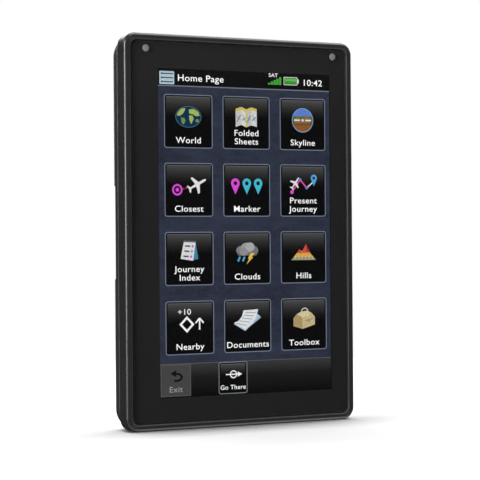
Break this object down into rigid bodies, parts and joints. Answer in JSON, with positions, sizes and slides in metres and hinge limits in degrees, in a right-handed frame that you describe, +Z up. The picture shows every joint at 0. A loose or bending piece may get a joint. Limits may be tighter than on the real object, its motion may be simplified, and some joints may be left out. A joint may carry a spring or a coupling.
{
  "type": "portable aviation gps",
  "caption": "Slim upright handheld aviation navigator: a framed touch screen in a two-shell case with battery door, port doors, side power button and cradle contacts.",
  "frame": {"origin": "centre of the bottom of the case's box, on the surface that the case stands on", "axes": "+Z up along the longest side, +X to the right of the screen, -Y out of the screen"},
  "size_m": [0.1216, 0.0236, 0.1842],
  "materials": {
    "bezel_plastic": "moulded charcoal polycarbonate, satin",
    "cover_glass": "chemically strengthened glass, gloss, with a black printed border behind it",
    "black_foam": "black foam adhesive tape",
    "sensor_film": "clear laminated film",
    "display": "lit colour display",
    "clear_acrylic": "clear acrylic",
    "pressed_steel": "thin pressed steel",
    "grey_lens": "smoked grey light pipe",
    "chip_package": "black moulded epoxy",
    "magnesium": "die cast light alloy, as cast",
    "screw_steel": "zinc plated steel",
    "flex_circuit": "amber polyimide",
    "ivory_plastic": "ivory nylon",
    "circuit_board": "green solder mask",
    "antenna_ceramic": "fired ceramic",
    "silver": "fired silver",
    "nickel": "nickel plated",
    "gold_plate": "gold plated",
    "rubber": "soft black rubber, matt",
    "button_rubber": "firm black rubber, matt",
    "black_plastic": "black nylon",
    "card_plastic": "black card body",
    "cover_plastic": "moulded black polycarbonate, fine texture",
    "battery_wrap": "printed film wrap",
    "grey_silicone": "dark grey silicone",
    "black_screw": "black oxide steel"
  },
  "bodies": {
    "case": {"front_bezel": "bezel_plastic", "cover_glass": "cover_glass", "glass_adhesive": "black_foam", "touch_sensor": "sensor_film", "lcd_panel": "display", "light_guide": "clear_acrylic", "backlight_tray": "pressed_steel", "left_light_window": "grey_lens", "right_light_window": "grey_lens", "light_sensor_chips": "chip_package", "chassis": "magnesium", "chassis_screws": "screw_steel", "display_flex": "flex_circuit", "touch_flex": "flex_circuit", "board_connectors": "ivory_plastic", "main_board": "circuit_board", "board_screws": "screw_steel", "processor": "chip_package", "memory_chip": "chip_package", "processor_shield": "pressed_steel", "receiver_chip": "chip_package", "receiver_shield": "pressed_steel", "patch_antenna": "antenna_ceramic", "patch_electrode": "silver", "backup_cell": "nickel", "antenna_jack": "gold_plate", "antenna_contact": "gold_plate", "usb_shell": "nickel", "usb_tongue": "black_plastic", "card_socket": "nickel", "port_frame": "black_plastic", "card_door_pin": "screw_steel", "usb_door_pin": "screw_steel", "power_switch": "black_plastic", "battery_pack": "battery_wrap", "battery_connector": "black_plastic", "battery_blades": "gold_plate", "battery_seal": "grey_silicone", "battery_door": "cover_plastic", "door_screws": "black_screw", "contact_block": "black_plastic", "cradle_contacts": "gold_plate", "contact_flex": "flex_circuit", "case_seal": "grey_silicone", "rear_cover": "cover_plastic", "rear_screws": "black_screw"},
    "power_button": {"power_button": "button_rubber", "switch_plunger": "ivory_plastic"},
    "memory_card": {"memory_card": "card_plastic"},
    "card_door": {"card_door": "cover_plastic"},
    "usb_door": {"usb_door": "cover_plastic"},
    "antenna_cap": {"antenna_cap": "rubber"}
  },
  "joints": [
    {"name": "power_button_press", "type": "slide", "parent": "case", "child": "power_button", "axis": [-1, 0, 0], "range_m": [0, 0.0004], "stiffness_N_per_m": 4000, "springref_m": -0.0001},
    {"name": "memory_card_press", "type": "slide", "parent": "case", "child": "memory_card", "axis": [-1, 0, 0], "range_m": [0, 0.0006], "stiffness_N_per_m": 1500, "springref_m": -0.0001},
    {"name": "card_door_hinge", "type": "hinge", "parent": "case", "child": "card_door", "pos_m": [0.0594, -0.0006, 0.129], "axis": [0, 0, -1], "range_deg": [0, 90]},
    {"name": "usb_door_hinge", "type": "hinge", "parent": "case", "child": "usb_door", "pos_m": [0.0594, -0.0006, 0.148], "axis": [0, 0, -1], "range_deg": [0, 90]},
    {"name": "antenna_cap_pull", "type": "slide", "parent": "case", "child": "antenna_cap", "axis": [0, 1, 0], "range_m": [0, 0.008]}
  ]
}
